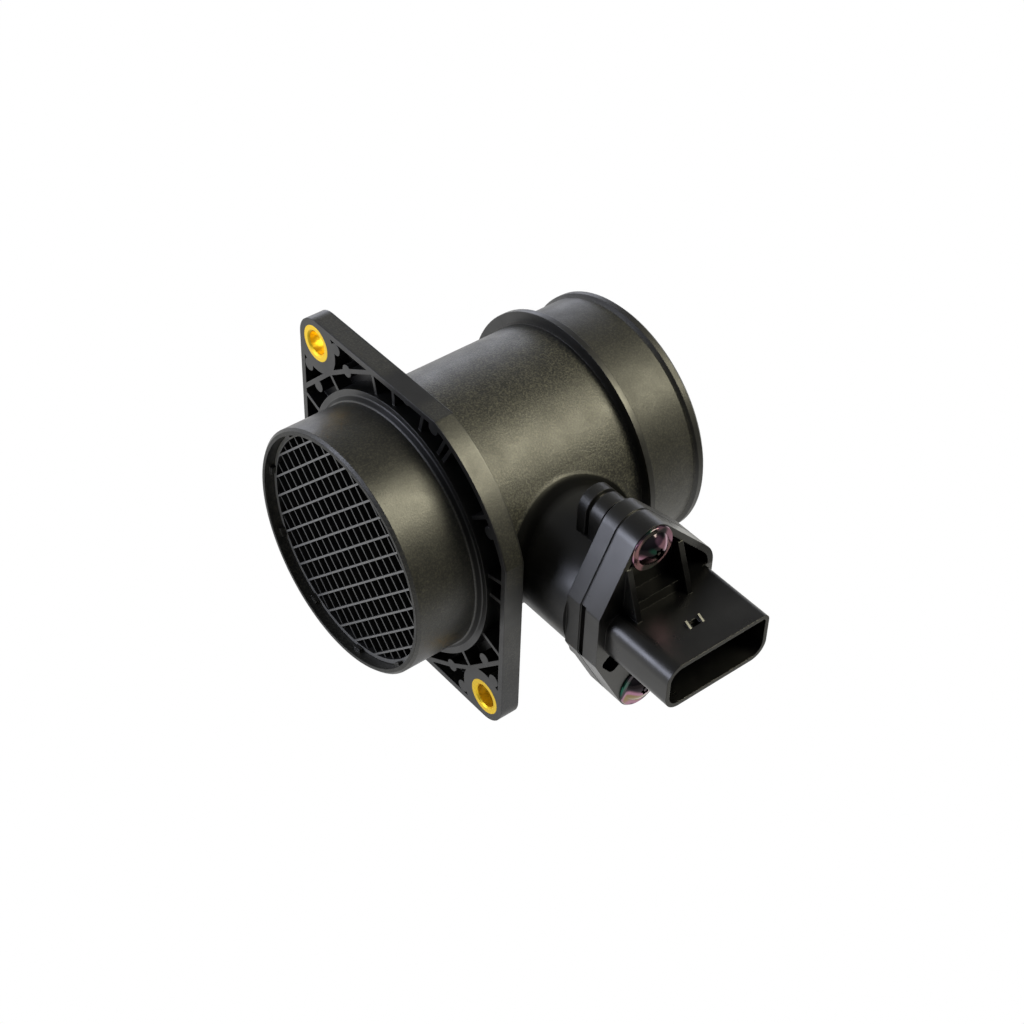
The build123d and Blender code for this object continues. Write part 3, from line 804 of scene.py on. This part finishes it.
class AIRFLOW_OT_inner_parts(bpy.types.Operator):
    """Finishes the contacts, the seal and the circuit"""

    bl_idname = "airflow.inner_parts"
    bl_label = "Contacts, seal and circuit"

    def execute(self, context):
        metal = context.scene.airflow_metal
        small = context.scene.airflow_small
        pins = [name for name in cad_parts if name.startswith("terminal_pin")]
        # Pieces, their metal, its colour, and its least and most roughness
        for names, sheet, tone, smoothest, roughest in (
            (pins, "tin_plate", metal.tin, 0.25, 0.4),
            (["carrier_plate"], "rolled_aluminium", metal.aluminium, 0.3, 0.45),
            (["chip_carrier"], "rolled_steel", metal.tin, 0.3, 0.5),
        ):
            dress(names, plated_metal(sheet, tone, smoothest, roughest))
        # Piece, its material, its colour, its grain in millimetres and its roughness again
        for name, substance, tone, grain, smoothest, roughest in (
            ("sensor_o_ring", "seal_rubber", small.rubber, 0.4, 0.55, 0.7),
            ("hybrid_board", "alumina_ceramic", small.ceramic, 0.3, 0.4, 0.55),
            ("evaluation_chip", "moulded_epoxy", small.epoxy, 0.25, 0.5, 0.65),
            ("board_capacitors", "fired_ceramic", small.capacitor, 0.2, 0.4, 0.6),
            ("sensing_chip", "polished_silicon", small.silicon, 1.0, 0.1, 0.2),
        ):
            dress([name], inner_material(substance, tone, grain * MM, smoothest, roughest))
        return {"FINISHED"}


def floor_paint(setup):
    """Pale matt paint that the camera sees as white. Shiny surfaces mirror mostly a painted glow
    from it: white under the sensor, and dimmed as painted shade in front of the socket."""
    material, tree, where, output = new_material("pale_floor")
    rays = node(tree, "ShaderNodeLightPath").outputs
    mirrored = node(
        tree, "ShaderNodeMath", {0: rays["Is Glossy Ray"], 1: MIRRORED_GLOW}, operation="MULTIPLY"
    )
    seen = node(
        tree,
        "ShaderNodeMath",
        {0: rays["Is Camera Ray"], 1: mirrored.outputs[0]},
        operation="MAXIMUM",
    )
    place = node(tree, "ShaderNodeSeparateXYZ", {0: where}).outputs
    # Painted shade: the glow that shiny surfaces mirror falls to a tenth in front of the socket
    lit = node(
        tree,
        "ShaderNodeMapRange",
        {"Value": place["Y"], "From Min": -130.0 * MM, "From Max": -85.0 * MM, "To Min": 0.1},
    )
    strength = node(
        tree,
        "ShaderNodeMath",
        {0: rays["Is Camera Ray"], 1: lit.outputs[0]},
        operation="MAXIMUM",
    )
    paint = node(tree, "ShaderNodeBsdfDiffuse", {"Color": setup.floor})
    glow = node(tree, "ShaderNodeEmission", {"Color": WHITE, "Strength": strength.outputs[0]})
    mixed = node(
        tree,
        "ShaderNodeMixShader",
        {0: seen.outputs[0], 1: paint.outputs[0], 2: glow.outputs[0]},
    )
    tree.links.new(mixed.outputs[0], output.inputs["Surface"])
    return material


def white_surround(setup):
    """A world that is white where it is seen, and lights bright from behind and dim from the
    front and overhead."""
    world = bpy.data.worlds.new("surround")
    world.use_nodes = True
    tree = world.node_tree
    tree.nodes.clear()
    direction = node(tree, "ShaderNodeTexCoord").outputs["Generated"]
    towards = node(tree, "ShaderNodeSeparateXYZ", {0: direction}).outputs
    wall = node(
        tree,
        "ShaderNodeMapRange",
        {
            "Value": towards["Y"],
            "From Min": 0.25,
            "From Max": 0.55,
            "To Min": setup.front,
            "To Max": setup.horizon,
        },
        interpolation_type="SMOOTHSTEP",
    )
    strength = node(
        tree,
        "ShaderNodeMapRange",
        {
            "Value": towards["Z"],
            "From Max": 0.7,
            "To Min": wall.outputs[0],
            "To Max": setup.ceiling,
        },
        interpolation_type="SMOOTHSTEP",
    )
    even = node(tree, "ShaderNodeBackground", {"Color": WHITE, "Strength": strength.outputs[0]})
    white = node(tree, "ShaderNodeBackground", {"Color": WHITE, "Strength": 1.0})
    seen = node(tree, "ShaderNodeLightPath").outputs["Is Camera Ray"]
    mixed = node(
        tree, "ShaderNodeMixShader", {0: seen, 1: even.outputs[0], 2: white.outputs[0]}
    )
    node(tree, "ShaderNodeOutputWorld", {"Surface": mixed.outputs[0]})
    return world


def area_light(name, power, size, place, tint):
    """A soft rectangular light at place that shines at the middle of the sensor."""
    data = bpy.data.lights.new(name, "AREA")
    data.shape = "RECTANGLE"
    data.energy = power
    data.size, data.size_y = size
    data.color = tint[:3]
    light = into_scene(name, data)
    light.visible_camera = False
    light.location = place
    aim = Vector(LIT_MIDDLE) * MM - Vector(place)
    light.rotation_euler = aim.to_track_quat("-Z", "Y").to_euler()


def main_camera(setup):
    """The camera, as it stood for the photograph."""
    data = bpy.data.cameras.new("camera")
    data.lens = setup.lens
    data.sensor_width = FILM_WIDTH
    data.clip_end = CLIP_END
    azimuth, elevation, roll = (math.radians(angle) for angle in CAMERA_ANGLES)
    back = Vector(
        (
            math.sin(azimuth) * math.cos(elevation),
            -math.cos(azimuth) * math.cos(elevation),
            math.sin(elevation),
        )
    )
    level = Vector((math.cos(azimuth), math.sin(azimuth), 0))
    upright = back.cross(level)
    right = level * math.cos(roll) + upright * math.sin(roll)
    up = upright * math.cos(roll) - level * math.sin(roll)
    place = Matrix.Translation(Vector(CAMERA_PLACE) * MM)
    camera = into_scene("camera", data)
    camera.matrix_world = place @ Matrix((right, up, back)).transposed().to_4x4()
    return camera


class AIRFLOW_OT_studio(bpy.types.Operator):
    """Sets up the floor, the white surround, the lights and the camera"""

    bl_idname = "airflow.studio"
    bl_label = "Studio"

    def execute(self, context):
        setup = context.scene.airflow_studio
        context.scene.view_settings.view_transform = "Standard"
        # The floor lies under the lowest edge of the flange
        lowest = cad_box[0][2]
        mesh = bmesh.new()
        bmesh.ops.create_grid(mesh, x_segments=1, y_segments=1, size=FLOOR_REACH)
        mesh.transform(Matrix.Translation((0, 0, lowest)))
        floor = from_bmesh("floor", mesh)
        floor.data.materials.append(floor_paint(setup))
        context.scene.world = white_surround(setup)
        # Name, power, then width and height, and place, both in metres, and tint
        for light in (
            ("right_softbox", setup.key_power, (0.24, 0.36), (0.30, -0.30, 0.46), setup.key),
            ("left_softbox", setup.side_power, (0.5, 0.3), (-0.60, 0.36, 0.22), setup.side),
            ("back_softbox", setup.back_power, (0.9, 0.25), (0.42, 0.62, 0.10), setup.side),
        ):
            area_light(*light)
        context.scene.camera = main_camera(setup)
        return {"FINISHED"}


class AIRFLOW_PT_panel(bpy.types.Panel):
    """Lists the operators that dress the sensor"""

    bl_label = "Mass airflow sensor"
    bl_idname = "AIRFLOW_PT_panel"
    bl_space_type = "VIEW_3D"
    bl_region_type = "UI"
    bl_category = "Airflow"

    def draw(self, context):
        for operator in OPERATORS:
            self.layout.operator(operator.bl_idname)
        for group in GROUPS:
            settings = getattr(context.scene, group)
            for name in settings.__annotations__:
                self.layout.prop(settings, name)


OPERATORS = (
    AIRFLOW_OT_tube,
    AIRFLOW_OT_grid,
    AIRFLOW_OT_bushes,
    AIRFLOW_OT_head,
    AIRFLOW_OT_screws,
    AIRFLOW_OT_inner_parts,
    AIRFLOW_OT_studio,
)
GROUPS = {
    "airflow_housing": HousingFinish,
    "airflow_head": HeadFinish,
    "airflow_metal": MetalFinish,
    "airflow_small": SmallPartFinish,
    "airflow_screw": ScrewForm,
    "airflow_studio": StudioSetup,
}


def register():
    for group in GROUPS.values():
        bpy.utils.register_class(group)
    for name, group in GROUPS.items():
        setattr(bpy.types.Scene, name, PointerProperty(type=group))
    for operator in OPERATORS:
        bpy.utils.register_class(operator)
    bpy.utils.register_class(AIRFLOW_PT_panel)


def unregister():
    bpy.utils.unregister_class(AIRFLOW_PT_panel)
    for operator in reversed(OPERATORS):
        bpy.utils.unregister_class(operator)
    for name in GROUPS:
        delattr(bpy.types.Scene, name)
    for group in reversed(list(GROUPS.values())):
        bpy.utils.unregister_class(group)


def main():
    register()
    bpy.ops.airflow.tube()
    bpy.ops.airflow.grid()
    bpy.ops.airflow.bushes()
    bpy.ops.airflow.head()
    bpy.ops.airflow.screws()
    bpy.ops.airflow.inner_parts()
    bpy.ops.airflow.studio()


if __name__ == "__main__":
    main()
